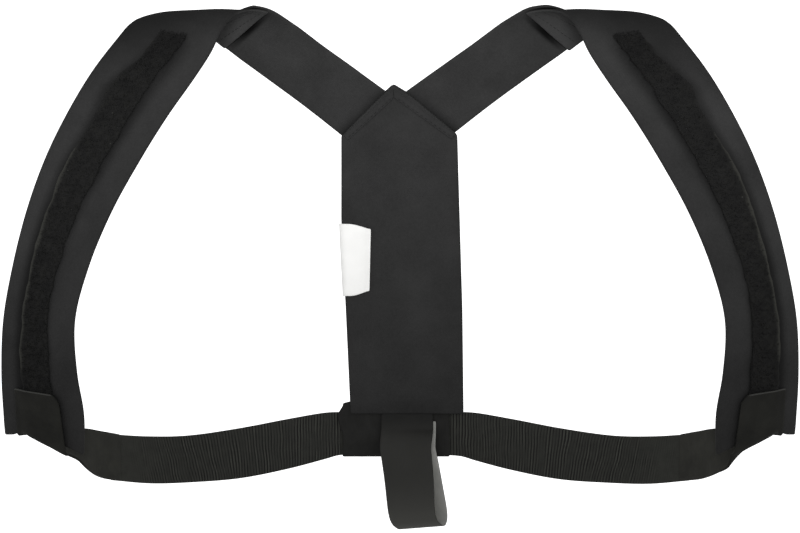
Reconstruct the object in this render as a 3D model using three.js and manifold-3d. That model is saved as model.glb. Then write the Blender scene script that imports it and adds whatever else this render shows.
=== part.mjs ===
// Posture corrector: a padded back panel, two straps that run from its gable over the shoulders into wide
// padded front straps, and an elastic band from each front strap's foot under the arm to the panel's foot.
// Millimetres, +Z up. The wearer faces -Y, so the wearer's left side is at +X.
// The origin is midway between the shoulders, at the height where the straps rest on them.
import * as THREE from "three";
import { mergeVertices } from "three/addons/utils/BufferGeometryUtils.js";
import Module from "manifold-3d";

const wasm = await Module();
wasm.setup();

// Thicknesses, and the gap that sewn or pressed layers keep
const layerGap = 0.3;
const padEdge = 2.6;          // rim of a front strap
const padLoft = 5.6;          // foam at its fullest
const padSewnEnd = 3;         // both ends, where it is sewn flat
const valleyDepth = 1.3;      // where the fastener strip pulls the foam down
const stripThick = 1.2;
const tabThick = 1.8;
const bandThick = 1.8;
const strapThick = 2.4;
const panelEdge = 5.4;
const panelLoft = 6.6;
const panelHem = 3;           // lower end of the panel, pressed thin
const sleeveWall = 1.2;
const labelThick = 0.6;

// The wearer's form, as the line that a strap follows from the small of the back, over the shoulder, to the
// side of the chest. lean is the way it heads: 0 up the back, 90 forward, 180 down the chest.
// before and after are how far its tangent holds on each side of the row.
const bodyLine = [
  { depth: 60, height: -275, lean: 0, before: 0, after: 45 },
  { depth: 60, height: -130, lean: 0, before: 45, after: 38 },
  { depth: 24, height: -16, lean: 30.5, before: 39, after: 15 },
  { depth: 0, height: 0, lean: 90, before: 8, after: 8 },
  { depth: -22, height: -16, lean: 149.7, before: 14, after: 36 },
  { depth: -57, height: -145, lean: 178, before: 50, after: 40 },
  { depth: -38, height: -275, lean: 198, before: 45, after: 0 },
];
const shoulderRow = 3;        // row of the line that lies on top of the shoulder
const chestFlat = 100;        // half width of the flat front of the chest
const chestBend = 0.00248;    // how fast the chest turns back beyond it, per millimetre
const chestFrom = 20;         // run where that turn starts, and where it is whole
const chestFull = 150;
const shoulderFall = 0.05;    // slope of the shoulder's top, outward
const shoulderMid = 100;      // reach at which the shoulder's top is level with the origin
const neckHalf = 60;
const fallRun = 90;           // run over which that slope fades

// Front strap, a row for each section from its sewn end behind the shoulder to its lower end.
// reach is the distance from the middle of the body, run the distance along the body line from the shoulder.
const padRows = [
  { outerReach: 102, outerRun: -31, innerReach: 76, innerRun: -8 },
  { outerReach: 119, outerRun: -15, innerReach: 85.5, innerRun: 0 },
  { outerReach: 136, outerRun: -1, innerReach: 95, innerRun: 10 },
  { outerReach: 151.5, outerRun: 9.5, innerReach: 102, innerRun: 22 },
  { outerReach: 161, outerRun: 25, innerReach: 107, innerRun: 35 },
  { outerReach: 172.2, outerRun: 46, innerReach: 116, innerRun: 52 },
  { outerReach: 186.2, outerRun: 74, innerReach: 130, innerRun: 75 },
  { outerReach: 199.5, outerRun: 103, innerReach: 146, innerRun: 103 },
  { outerReach: 210, outerRun: 132, innerReach: 161.5, innerRun: 132 },
  { outerReach: 217.8, outerRun: 162, innerReach: 174, innerRun: 162 },
  { outerReach: 223.5, outerRun: 192, innerReach: 182, innerRun: 192 },
  { outerReach: 225, outerRun: 222, innerReach: 181, innerRun: 222 },
  { outerReach: 224.5, outerRun: 240, innerReach: 177.5, innerRun: 244 },
  { outerReach: 223.5, outerRun: 254, innerReach: 178, innerRun: 265 },
];
// Lower end of the front strap, cut to a shallow curve that the tab wraps: evenly spaced across it
const padHemRows = [
  { across: 0, run: 258 },
  { across: 0.25, run: 251.5 },
  { across: 0.5, run: 256.5 },
  { across: 0.75, run: 262 },
  { across: 1, run: 266 },
];
// Shares of the strap's length: its foam swells between the first two and thins from the third to the end
const swellFrom = 0.09;
const swellFull = 0.2;
const hemFrom = 0.86;
const crownPower = 4;         // squareness of the foam's section

// Loop fastener strip down the middle of the front strap
const stripHalf = 0.2;        // half width, as a share of the strap's
const stripTopMid = 0.48;     // where its middle lies across the strap, at the top and at the foot
const stripFootMid = 0.43;
const stripFirst = 10;        // steps of the front strap between which it lies
const stripLast = 34;
const valleyFrom = 0.9;       // the foam is pulled down to here, and is free from here: shares of stripHalf
const valleyTo = 1.5;

// Fastening tab: the smooth end of the band, wrapped up round the strap's lower end onto the strip
const tabOuter = 0.2;         // its edges across the strap
const tabInnerTop = 0.88;
const tabInnerFoot = 0.97;
const tabTopRun = 231.5;
const tabTopSlant = 3.5;      // the free end drops this far toward its inner corner
const tabCorner = 5;          // that corner's drop, and the share of the tab's width that it takes
const tabCornerShare = 0.2;
const tabTopAlong = 0.89;     // share of the front strap's length where the free end lies
const tabFrontShare = 0.34;   // shares of the tab's length: up the front, and round the fold
const tabFoldShare = 0.2;
const tabBowShare = 0.3;      // share of the tail over which the curve of the fold fades
const tabSag = { right: 0, left: 3.5 };   // one tab hangs lower as it leaves the fold
const tabTailRows = [
  {
    upperReach: 200, upperDepth: -9, upperHeight: -237.5,
    lowerReach: 181.5, lowerDepth: -24.5, lowerHeight: -252.5, sag: 1,
  },
  {
    upperReach: 181.5, upperDepth: -4, upperHeight: -235.8,
    lowerReach: 178, lowerDepth: -17, lowerHeight: -258, sag: 1,
  },
  {
    upperReach: 172.5, upperDepth: 5, upperHeight: -237.8,
    lowerReach: 172.5, lowerDepth: 2, lowerHeight: -264.6, sag: 0.4,
  },
  {
    upperReach: 163, upperDepth: 18.3, upperHeight: -240.6,
    lowerReach: 162.5, lowerDepth: 18.3, lowerHeight: -268, sag: 0,
  },
];

// Elastic band, a row for each section from the tab to its end inside the panel's sleeve
const bandRows = [
  { upperReach: 169, lowerReach: 168, depth: 15.8, upperHeight: -240.2, lowerHeight: -267.2 },
  { upperReach: 148.5, lowerReach: 146, depth: 36, upperHeight: -242.8, lowerHeight: -270.8 },
  { upperReach: 126.5, lowerReach: 123, depth: 49, upperHeight: -243.2, lowerHeight: -271.1 },
  { upperReach: 96.5, lowerReach: 95, depth: 58.5, upperHeight: -239.5, lowerHeight: -269.3 },
  { upperReach: 66, lowerReach: 66, depth: 64, upperHeight: -234, lowerHeight: -263.8 },
  { upperReach: 45, lowerReach: 45, depth: 66.5, upperHeight: -230.6, lowerHeight: -258.4 },
  { upperReach: 36.5, lowerReach: 36.5, depth: 67, upperHeight: -230.2, lowerHeight: -256.2 },
  { upperReach: 21.5, lowerReach: 21.5, depth: 67, upperHeight: -230, lowerHeight: -255.8 },
];

// Back strap, from inside the panel's gable to the overlap on the front strap's sewn end
const strapRows = [
  { upperReach: 4.5, upperRun: -62.5, lowerReach: 29.5, lowerRun: -90 },
  { upperReach: 32, upperRun: -41.5, lowerReach: 59, lowerRun: -66 },
  { upperReach: 66.5, upperRun: -15, lowerReach: 93.5, lowerRun: -37.5 },
  { upperReach: 84, upperRun: -1.5, lowerReach: 113.5, lowerRun: -20 },
];
const strapRise = { right: 0.4, left: 2.8 };    // the panel hangs askew, so one strap lies higher
const strapInPanel = 1.5;     // lift of the strap between the panel's faces
const strapOnPad = padSewnEnd + 2 * layerGap;
const strapLiftFrom = 0.3;    // shares of its length between which it rises from the one lift to the other
const strapLiftFull = 0.85;

// Back panel, a row for each change in its outline, from the peak of the gable to the hem.
// It hangs slightly askew, and narrows a little toward the hem.
const panelRows = [
  { run: -58, right: -6.5, left: 1.5 },
  { run: -61.5, right: -11.5, left: 7 },
  { run: -82.5, right: -32, left: 33.8 },
  { run: -85.5, right: -35, left: 34 },
  { run: -136, right: -35.3, left: 35.1 },
  { run: -190, right: -32.8, left: 36.6 },
  { run: -252.5, right: -30, left: 37.4 },
];
const gableFoot = 3;          // row at the foot of the gable
const hemTaper = 20;          // length over which the panel thins to its hem

// Sleeve across the panel's foot, which takes the ends of both bands
const sleeve = {
  right: -37.3, left: 29.7, top: -224.4, bottom: -258, front: 64.6, back: 69.4,
  slant: 2.2, slantWidth: 7,  // its upper edge drops at the right end
};

// Care label, folded out of the panel's side seam onto its face
const careTopRun = -138.5;
const careFootRun = -182;
const careTopWidth = 17.8;
const careFootWidth = 14.8;
const careTaper = 3;          // its free edge is this much shorter at each end
const careFlat = 0.5;         // share of its width, from the seam, where its ends are still parallel
const careCurl = 2.6;         // lift of its free edge
// How it lies, from the seam round the panel's edge to its free edge: share of its width, height above the
// face (below 0, down the panel's side), share of its curl, and whether it is outside the panel's edge
const careRows = [
  { share: 0, above: -3.4, curl: 0, outside: 1 },
  { share: -0.01, above: -0.6, curl: 0, outside: 1 },
  { share: 0.035, above: 0.3, curl: 0, outside: 0 },
  { share: 0.4, above: 0.5, curl: 0, outside: 0 },
  { share: 0.75, above: 0, curl: 0.45, outside: 0 },
  { share: 1, above: 0, curl: 1, outside: 0 },
];

// Loop label, hung from the hem over the sleeve
const loopLabel = {
  middle: 5.8, width: 32,
  drift: 8.8, twist: 31, roll: 0.1,       // aside, turned in degrees, and tilted by its foot
  twistFrom: -250, twistTo: -294,
};
const loopRows = [
  { depth: 64, height: -229.5 },
  { depth: 63.6, height: -233 },
  { depth: 59, height: -246 },
  { depth: 54, height: -268 },
  { depth: 50, height: -287 },
  { depth: 50.5, height: -294.5 },
  { depth: 55, height: -297 },
  { depth: 59.5, height: -292 },
  { depth: 61.6, height: -272 },
  { depth: 62.8, height: -254 },
  { depth: 63.6, height: -240 },
];

const sides = { right: -1, left: 1 };

// Faces that each piece is divided into, across it and along it
const divide = {
  padAcross: 12, padAlong: 36,
  stripAcross: 4,
  tabAcross: 10, tabAlong: 22,
  bandAcross: 3, bandAlong: 24,
  strapAcross: 6, strapAlong: 20,
  panelAcross: 10, gable: 9, panelBody: 15,
  sleeveArc: 3, sleeveAlong: 8,
  careAcross: 14, careAlong: 4,
  loopAcross: 4, loopAlong: 30,
};

const { lerp, smoothstep, clamp, degToRad } = THREE.MathUtils;

// Turns a table's columns into one smooth curve through its rows.
function columnCurve(rows, pick) {
  return new THREE.CatmullRomCurve3(rows.map(pick));
}

// Reads a column between the rows of a table that is ordered along another column.
function readTable(rows, along, at, column) {
  for (let i = 1; i < rows.length; i++) {
    const a = rows[i - 1];
    const b = rows[i];
    const share = (at - a[along]) / (b[along] - a[along]);
    if (share <= 1 || i === rows.length - 1) {
      return lerp(a[column], b[column], clamp(share, 0, 1));
    }
  }
}

// The wearer's form
const shoulderPath = new THREE.Path();
bodyLine.forEach((row, i) => {
  const heading = new THREE.Vector2(-Math.sin(degToRad(row.lean)), Math.cos(degToRad(row.lean)));
  row.place = new THREE.Vector2(row.depth, row.height);
  row.pullBefore = row.place.clone().addScaledVector(heading, -row.before);
  row.pullAfter = row.place.clone().addScaledVector(heading, row.after);
  if (i > 0) {
    const last = bodyLine[i - 1];
    shoulderPath.curves.push(new THREE.CubicBezierCurve(last.place, last.pullAfter, row.pullBefore, row.place));
  }
});
const pathLength = shoulderPath.getLength();
const shoulderAt = shoulderPath.curves.slice(0, shoulderRow).reduce((sum, curve) => sum + curve.getLength(), 0);

function bodySurface(x, run) {
  const reach = Math.abs(x);
  const place = shoulderPath.getPoint(clamp((shoulderAt + run) / pathLength, 0, 1));
  const round = chestBend * Math.max(0, reach - chestFlat) ** 2 * smoothstep(run, chestFrom, chestFull);
  const onTop = 1 - smoothstep(Math.abs(run), 0, fallRun);
  const fall = shoulderFall * (Math.max(reach, neckHalf) - shoulderMid) * onTop;
  return new THREE.Vector3(x, place.x + round, place.y - fall);
}

// A point lifted off the wearer's form, square to it
function onBody(x, run, lift) {
  const step = 0.5;
  const alongRun = bodySurface(x, run + step).sub(bodySurface(x, run - step));
  const alongX = bodySurface(x + step, run).sub(bodySurface(x - step, run));
  const out = alongRun.cross(alongX).normalize();
  return bodySurface(x, run).addScaledVector(out, lift);
}

// Makes a geometry one closed body: shared corners merged, faces outward.
function closedBody(geometry) {
  geometry.deleteAttribute("normal");
  geometry.deleteAttribute("uv");
  const weld = 1e-4;
  const body = mergeVertices(geometry, weld);
  const place = body.attributes.position;
  const index = body.index.array;
  const [a, b, c] = [new THREE.Vector3(), new THREE.Vector3(), new THREE.Vector3()];
  let volume = 0;
  for (let i = 0; i < index.length; i += 3) {
    a.fromBufferAttribute(place, index[i]);
    b.fromBufferAttribute(place, index[i + 1]);
    c.fromBufferAttribute(place, index[i + 2]);
    volume += a.dot(b.cross(c));
  }
  if (volume < 0) {
    for (let i = 0; i < index.length; i += 3) {
      [index[i], index[i + 1]] = [index[i + 1], index[i]];
    }
  }
  body.computeVertexNormals();
  return body;
}

// A flat blank of cloth, bent: place gives the point at a share across, along and through it.
function bentSheet(acrossSteps, alongSteps, place) {
  const blank = new THREE.BoxGeometry(1, 1, 1, acrossSteps, alongSteps, 1);
  const corner = blank.attributes.position;
  for (let i = 0; i < corner.count; i++) {
    const bent = place(corner.getX(i) + 0.5, corner.getY(i) + 0.5, corner.getZ(i) + 0.5);
    corner.setXYZ(i, bent.x, bent.y, bent.z);
  }
  return closedBody(blank);
}

// Gives a middle surface its thickness, square to itself.
function thickened(surface, thickness) {
  const step = 0.004;
  return (across, along, through) => {
    const [u0, u1] = [Math.max(0, across - step), Math.min(1, across + step)];
    const [v0, v1] = [Math.max(0, along - step), Math.min(1, along + step)];
    const alongU = surface(u1, along).sub(surface(u0, along));
    const alongV = surface(across, v1).sub(surface(across, v0));
    const out = alongU.cross(alongV).normalize();
    return surface(across, along).addScaledVector(out, (through - 0.5) * thickness);
  };
}

// Cuts one closed body out of another.
function cutFrom(whole, tools) {
  const solid = (geometry) => new wasm.Manifold(new wasm.Mesh({
    numProp: 3,
    vertProperties: new Float32Array(geometry.attributes.position.array),
    triVerts: new Uint32Array(geometry.index.array),
  }));
  const cut = tools.reduce((left, tool) => left.subtract(solid(tool)), solid(whole)).getMesh();
  const result = new THREE.BufferGeometry();
  result.setAttribute("position", new THREE.BufferAttribute(cut.vertProperties, 3));
  result.setIndex(new THREE.BufferAttribute(cut.triVerts, 1));
  result.computeVertexNormals();
  return result;
}

// Front strap: its outline, the curve of its lower end, and the loft of its foam
const padOuterEdge = columnCurve(padRows, (row) => new THREE.Vector3(row.outerReach, row.outerRun, 0));
const padInnerEdge = columnCurve(padRows, (row) => new THREE.Vector3(row.innerReach, row.innerRun, 0));
const padHem = columnCurve(padHemRows, (row) => new THREE.Vector3(row.across, row.run, 0));
const padFoot = padRows[padRows.length - 1];

function padPlace(across, along) {
  const place = padOuterEdge.getPoint(along).lerp(padInnerEdge.getPoint(along), across);
  const straightHem = lerp(padFoot.outerRun, padFoot.innerRun, across);
  place.y += (padHem.getPoint(across).y - straightHem) * smoothstep(along, hemFrom, 1);
  return { reach: place.x, run: place.y };
}

function stripMiddle(along) {
  return lerp(stripTopMid, stripFootMid, along);
}

function padThickness(across, along) {
  const crown = 1 - Math.abs(2 * across - 1) ** crownPower;
  const ends = smoothstep(along, swellFrom, swellFull) * (1 - smoothstep(along, hemFrom, 1));
  const sewn = lerp(padSewnEnd, padEdge, smoothstep(ends, 0, 0.5));
  const fromStrip = Math.abs(across - stripMiddle(along));
  const beside = 1 - smoothstep(fromStrip, stripHalf * valleyFrom, stripHalf * valleyTo);
  const lengthwise = smoothstep(along, (stripFirst - 2) / divide.padAlong, stripFirst / divide.padAlong);
  return sewn + ((padLoft - padEdge) * crown - valleyDepth * beside * lengthwise) * ends;
}

function frontStrap(side) {
  return bentSheet(divide.padAcross, divide.padAlong, (across, along, through) => {
    const { reach, run } = padPlace(across, along);
    return onBody(side * reach, run, through * padThickness(across, along));
  });
}

function fastenerStrip(side) {
  return bentSheet(divide.stripAcross, stripLast - stripFirst, (across, along, through) => {
    const onPad = lerp(stripFirst, stripLast, along) / divide.padAlong;
    const place = stripMiddle(onPad) + lerp(-stripHalf, stripHalf, across);
    const { reach, run } = padPlace(place, onPad);
    return onBody(side * reach, run, padThickness(place, onPad) + layerGap + through * stripThick);
  });
}

// Fastening tab: up the front of the strap, round its lower end, then twisting into line with the band
function tabSurface(name) {
  const side = sides[name];
  const clear = stripThick + 2 * layerGap + tabThick / 2;
  const bendAround = (share, turn) => {
    const onPad = lerp(tabOuter, tabInnerFoot, share);
    const { reach, run } = padPlace(onPad, 1);
    const middle = padThickness(onPad, 1) / 2;
    const radius = middle + clear;
    return onBody(side * reach, run + radius * Math.sin(turn), middle + radius * Math.cos(turn));
  };
  const upFront = (share, down) => {
    const corner = Math.max(0, share - 1 + tabCornerShare) / tabCornerShare;
    const top = tabTopRun + tabTopSlant * share + tabCorner * corner ** 2;
    const onPad = lerp(tabOuter, lerp(tabInnerTop, tabInnerFoot, down), share);
    const foot = padPlace(onPad, 1);
    const run = lerp(top, foot.run, down);
    const reach = lerp(padPlace(onPad, tabTopAlong).reach, foot.reach, down);
    const lift = lerp(padThickness(onPad, tabTopAlong), padThickness(onPad, 1), down) + clear;
    return onBody(side * reach, run, lift);
  };
  const tailFrom = [bendAround(0, Math.PI / 2), bendAround(1, Math.PI / 2)];
  const tailUpper = tabTailRows.map((row) => new THREE.Vector3(
    side * row.upperReach, row.upperDepth, row.upperHeight));
  const tailLower = tabTailRows.map((row) => new THREE.Vector3(
    side * (row.lowerReach + tabSag[name] * row.sag), row.lowerDepth, row.lowerHeight - tabSag[name] * row.sag));
  const upper = new THREE.CatmullRomCurve3([tailFrom[0], ...tailUpper]);
  const lower = new THREE.CatmullRomCurve3([tailFrom[1], ...tailLower]);
  return (across, along) => {
    if (along < tabFrontShare) {
      return upFront(across, along / tabFrontShare);
    }
    if (along < tabFrontShare + tabFoldShare) {
      return bendAround(across, (along - tabFrontShare) / tabFoldShare * Math.PI / 2);
    }
    const tail = (along - tabFrontShare - tabFoldShare) / (1 - tabFrontShare - tabFoldShare);
    const bow = bendAround(across, Math.PI / 2).sub(tailFrom[0].clone().lerp(tailFrom[1], across));
    const straight = upper.getPoint(tail).lerp(lower.getPoint(tail), across);
    return straight.addScaledVector(bow, 1 - smoothstep(tail, 0, tabBowShare));
  };
}

function fasteningTab(name) {
  return bentSheet(divide.tabAcross, divide.tabAlong, thickened(tabSurface(name), tabThick));
}

function elasticBand(side) {
  const upper = columnCurve(bandRows, (row) => new THREE.Vector3(
    side * row.upperReach, row.depth, row.upperHeight));
  const lower = columnCurve(bandRows, (row) => new THREE.Vector3(
    side * row.lowerReach, row.depth, row.lowerHeight));
  const surface = (across, along) => upper.getPoint(along).lerp(lower.getPoint(along), across);
  return bentSheet(divide.bandAcross, divide.bandAlong, thickened(surface, bandThick));
}

// Back strap; grow widens it all round, for the slot that it needs in the panel.
function backStrap(name, grow = 0) {
  const side = sides[name];
  const upper = columnCurve(strapRows, (row) => new THREE.Vector3(row.upperReach, row.upperRun, 0));
  const lower = columnCurve(strapRows, (row) => new THREE.Vector3(row.lowerReach, row.lowerRun, 0));
  const width = upper.getPoint(0).distanceTo(lower.getPoint(0));
  const length = upper.getLength();
  return bentSheet(divide.strapAcross, divide.strapAlong, (across, along, through) => {
    const spreadAcross = across + (2 * across - 1) * grow / width;
    const spreadAlong = along + (2 * along - 1) * grow / length;
    const at = clamp(spreadAlong, 0, 1);
    const place = upper.getPoint(at).lerp(lower.getPoint(at), spreadAcross);
    const heading = upper.getTangent(at).multiplyScalar((spreadAlong - at) * length);
    place.add(heading);
    const lift = lerp(strapInPanel, strapOnPad, smoothstep(along, strapLiftFrom, strapLiftFull));
    return onBody(side * place.x, place.y + strapRise[name], lift - grow + through * (strapThick + 2 * grow));
  });
}

function backPanel() {
  const peakRun = panelRows[0].run;
  const shoulderRun = panelRows[gableFoot].run;
  const hem = panelRows[panelRows.length - 1].run;
  const steps = divide.gable + divide.panelBody;
  const runAt = (along) => {
    const step = along * steps;
    if (step <= divide.gable) {
      return lerp(peakRun, shoulderRun, step / divide.gable);
    }
    return lerp(shoulderRun, hem, (step - divide.gable) / divide.panelBody);
  };
  return bentSheet(divide.panelAcross, steps, (across, along, through) => {
    const run = runAt(along);
    const x = lerp(readTable(panelRows, "run", run, "right"), readTable(panelRows, "run", run, "left"), across);
    const full = lerp(panelEdge, panelLoft, 1 - (2 * across - 1) ** 2);
    const thickness = lerp(panelHem, full, smoothstep(run - hem, 0, hemTaper));
    return onBody(x, run, through * thickness);
  });
}

function panelSleeve() {
  const ring = (inset) => {
    const depth = (sleeve.back - sleeve.front) / 2 - inset;
    const height = (sleeve.top - sleeve.bottom) / 2 - inset;
    const outline = new THREE.Path();
    outline.moveTo(-depth, -height + depth);
    outline.absarc(0, -height + depth, depth, Math.PI, 2 * Math.PI, false);
    outline.absarc(0, height - depth, depth, 0, Math.PI, false);
    return outline.getPoints(divide.sleeveArc).slice(0, -1);
  };
  const section = new THREE.Shape(ring(0));
  section.holes.push(new THREE.Path(ring(sleeveWall)));
  const length = sleeve.left - sleeve.right;
  const tube = new THREE.ExtrudeGeometry(section, { depth: length, steps: divide.sleeveAlong, bevelEnabled: false });
  const corner = tube.attributes.position;
  const midDepth = (sleeve.front + sleeve.back) / 2;
  const midHeight = (sleeve.top + sleeve.bottom) / 2;
  for (let i = 0; i < corner.count; i++) {
    const x = sleeve.right + corner.getZ(i);
    const nearEnd = Math.max(0, 1 - corner.getZ(i) / sleeve.slantWidth);
    const above = corner.getY(i) > 0 ? 1 : 0;
    corner.setXYZ(i, x, midDepth + corner.getX(i), midHeight + corner.getY(i) - sleeve.slant * nearEnd * above);
  }
  return closedBody(tube);
}

function careLabel() {
  const clear = layerGap + labelThick / 2;
  const surface = (across, along) => {
    const seamRun = lerp(careTopRun, careFootRun, along);
    const seam = readTable(panelRows, "run", seamRun, "right");
    const width = lerp(careTopWidth, careFootWidth, along);
    const route = new THREE.SplineCurve(careRows.map((row) => new THREE.Vector2(
      seam + width * row.share - clear * row.outside,
      -row.above - careCurl * row.curl - clear * (1 - row.outside),
    )));
    const place = route.getPoint(across);
    const drawnIn = careTaper * (2 * along - 1) * smoothstep(across, careFlat, 1);
    return onBody(place.x, seamRun + drawnIn, place.y);
  };
  return bentSheet(divide.careAcross, divide.careAlong, thickened(surface, labelThick));
}

function hangingLabel() {
  const side = columnCurve(loopRows, (row) => new THREE.Vector3(0, row.depth, row.height));
  const pivotDepth = loopRows[0].depth;
  const surface = (across, along) => {
    const place = side.getPoint(along);
    const down = smoothstep(-place.z, -loopLabel.twistFrom, -loopLabel.twistTo);
    const turn = degToRad(loopLabel.twist) * down;
    const wide = (across - 0.5) * loopLabel.width;
    const out = place.y - pivotDepth;
    place.x = loopLabel.middle + loopLabel.drift * down + wide * Math.cos(turn) + out * Math.sin(turn);
    place.y = pivotDepth + out * Math.cos(turn) - wide * Math.sin(turn);
    place.z += wide * loopLabel.roll * down;
    return place;
  };
  return bentSheet(divide.loopAcross, divide.loopAlong, thickened(surface, labelThick));
}

// The pieces, each its own mesh
const foamKnit = { color: 0x333333, roughness: 0.9, metalness: 0 };
const strapKnit = { color: 0x363636, roughness: 0.9, metalness: 0 };
const loopPile = { color: 0x1e1e1e, roughness: 1, metalness: 0 };
const smoothTape = { color: 0x222220, roughness: 0.8, metalness: 0 };
const ribbedElastic = { color: 0x272825, roughness: 0.75, metalness: 0 };
const whiteSatin = { color: 0xededed, roughness: 0.55, metalness: 0 };
const blackSatin = { color: 0x2d2d2d, roughness: 0.5, metalness: 0 };

const corrector = new THREE.Group();

function addPiece(name, geometry, finish) {
  const mesh = new THREE.Mesh(geometry, new THREE.MeshStandardMaterial(finish));
  mesh.name = name;
  corrector.add(mesh);
}

const strapSlots = Object.keys(sides).map((name) => backStrap(name, layerGap));
addPiece("back_panel", cutFrom(backPanel(), strapSlots), foamKnit);
addPiece("panel_sleeve", panelSleeve(), smoothTape);
for (const [name, side] of Object.entries(sides)) {
  addPiece(`back_strap_${name}`, backStrap(name), strapKnit);
  addPiece(`front_strap_${name}`, frontStrap(side), foamKnit);
  addPiece(`loop_strip_${name}`, fastenerStrip(side), loopPile);
  addPiece(`hook_tab_${name}`, fasteningTab(name), smoothTape);
  addPiece(`elastic_band_${name}`, elasticBand(side), ribbedElastic);
}
addPiece("care_label", careLabel(), whiteSatin);
addPiece("loop_label", hangingLabel(), blackSatin);

export default corrector;
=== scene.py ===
import bisect
import math
import random

import bmesh
import bpy
from mathutils import Matrix, Vector, noise
from mathutils.geometry import interpolate_bezier


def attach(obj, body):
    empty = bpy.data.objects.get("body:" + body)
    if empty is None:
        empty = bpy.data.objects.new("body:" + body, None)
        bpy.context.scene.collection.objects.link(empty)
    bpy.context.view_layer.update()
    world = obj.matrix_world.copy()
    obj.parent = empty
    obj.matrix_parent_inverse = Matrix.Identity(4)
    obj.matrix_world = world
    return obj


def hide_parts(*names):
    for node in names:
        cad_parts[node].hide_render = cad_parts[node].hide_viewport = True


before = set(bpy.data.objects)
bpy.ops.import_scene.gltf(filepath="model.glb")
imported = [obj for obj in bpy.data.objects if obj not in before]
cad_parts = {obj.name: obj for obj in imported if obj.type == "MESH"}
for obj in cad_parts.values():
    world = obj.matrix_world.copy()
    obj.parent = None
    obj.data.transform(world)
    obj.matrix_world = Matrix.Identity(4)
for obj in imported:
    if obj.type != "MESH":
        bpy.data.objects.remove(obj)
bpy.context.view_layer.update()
mm = 0.001
sides = {"right": -1, "left": 1}   # the wearer's own
print("frame loaded,", len(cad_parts), "nodes")


# small helpers for shapes; lengths are in millimetres until a piece is finished

def mix(a, b, share):
    return a + (b - a) * share


def clamp(value, low=0, high=1):
    return min(high, max(low, value))


def easeStep(value, low, high):
    share = clamp((value - low) / (high - low))
    return share * share * (3 - 2 * share)


def fadeOut(value, low, high):
    return 1 - easeStep(value, low, high)


def table(columns, *rows):
    # rows of values under named columns
    return [dict(zip(columns.split(), row)) for row in rows]


def smoothRoute(points):
    # one curve through the points, evenly shared between them, that never overshoots
    guides = [points[0] * 2 - points[1], *points, points[-1] * 2 - points[-2]]

    def at(share):
        place = clamp(share) * (len(points) - 1)
        first = min(int(place), len(points) - 2)
        p0, p1, p2, p3 = guides[first:first + 4]
        gap0 = max((p1 - p0).length, 1e-4) ** 0.5
        gap1 = max((p2 - p1).length, 1e-4) ** 0.5
        gap2 = max((p3 - p2).length, 1e-4) ** 0.5
        leave = ((p1 - p0) / gap0 - (p2 - p0) / (gap0 + gap1) + (p2 - p1) / gap1) * gap1
        arrive = ((p2 - p1) / gap1 - (p3 - p1) / (gap1 + gap2) + (p3 - p2) / gap2) * gap1
        s = place - first
        held = p1 * (2 * s ** 3 - 3 * s ** 2 + 1) + p2 * (3 * s ** 2 - 2 * s ** 3)
        return held + leave * (s ** 3 - 2 * s ** 2 + s) + arrive * (s ** 3 - s ** 2)

    return at


def edgeRoute(plan, edge):
    # one edge of a piece, as it runs over the form
    return smoothRoute([Vector((row[edge + "Reach"], row[edge + "Run"])) for row in plan["rows"]])


def bentCloth(plan, place, closed=False):
    # a flat cloth blank with two faces, bent by place(across, along, through); its UVs are metres of cloth
    cloth = bmesh.new()
    uv = cloth.loops.layers.uv.new("UVMap")
    across, along, outer = [cloth.verts.layers.float.new(key) for key in ("across", "along", "outer")]
    bmesh.ops.create_grid(cloth, x_segments=plan["across"], y_segments=plan["along"], size=0.5)
    for vert in cloth.verts:
        vert[across] = vert.co.x + 0.5
        vert[along] = vert.co.y + 0.5
    grown = bmesh.ops.extrude_face_region(cloth, geom=cloth.faces[:])["geom"]
    for part in grown:
        if isinstance(part, bmesh.types.BMVert):
            part[outer] = 1
    wide, long = [size * mm for size in plan["flat"]]
    for corner in [loop for side in cloth.faces for loop in side.loops]:
        corner[uv].uv = (corner.vert[across] * wide, corner.vert[along] * long)
    if closed:
        # a tube: its two long edges meet
        ends = [side for side in cloth.faces
                if {round(vert[across], 4) for vert in side.verts} in ({0}, {1})]
        bmesh.ops.delete(cloth, geom=ends, context="FACES_ONLY")
    for vert in cloth.verts:
        vert.co = place(vert[across], vert[along], vert[outer]) * mm
    if closed:
        bmesh.ops.remove_doubles(cloth, verts=cloth.verts, dist=0.02 * mm)
    bmesh.ops.recalc_face_normals(cloth, faces=cloth.faces)
    return cloth


def onBlank(cloth, vert):
    # a point's place on the flat blank, and which of its two faces it is on
    return [vert[cloth.verts.layers.float[key]] for key in ("across", "along", "outer")]


def paint(cloth, name, value):
    # a share at every point of the cloth, for its finish to read
    layer = cloth.verts.layers.float.new(name)
    for vert in cloth.verts:
        vert[layer] = value(*onBlank(cloth, vert))


def secondFinish(cloth, outer):
    # one of the two faces gets the second of the piece's finishes
    for face in cloth.faces:
        face.material_index = int(all(round(onBlank(cloth, vert)[2]) == outer for vert in face.verts))


def squareTo(surface, thickness):
    # gives a middle surface its thickness, square to itself
    reach = 0.004

    def place(across, along, through):
        wide = surface(min(1, across + reach), along) - surface(max(0, across - reach), along)
        long = surface(across, min(1, along + reach)) - surface(across, max(0, along - reach))
        return surface(across, along) + wide.cross(long).normalized() * (through - 0.5) * thickness

    return place


def finishPiece(name, cloth, finishes):
    mesh = bpy.data.meshes.new(name)
    cloth.to_mesh(mesh)
    cloth.free()
    for finish in finishes:
        mesh.materials.append(finish)
    mesh.shade_smooth()
    piece = bpy.data.objects.new(name, mesh)
    bpy.context.scene.collection.objects.link(piece)
    return piece


def roundOff(piece):
    rounding = piece.modifiers.new("rounding", "SUBSURF")
    rounding.levels = rounding.render_levels = 1
    return piece


def dress(piece, slotName, *nodes):
    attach(piece, "root")
    if nodes:
        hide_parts(*nodes)
    return piece


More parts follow.
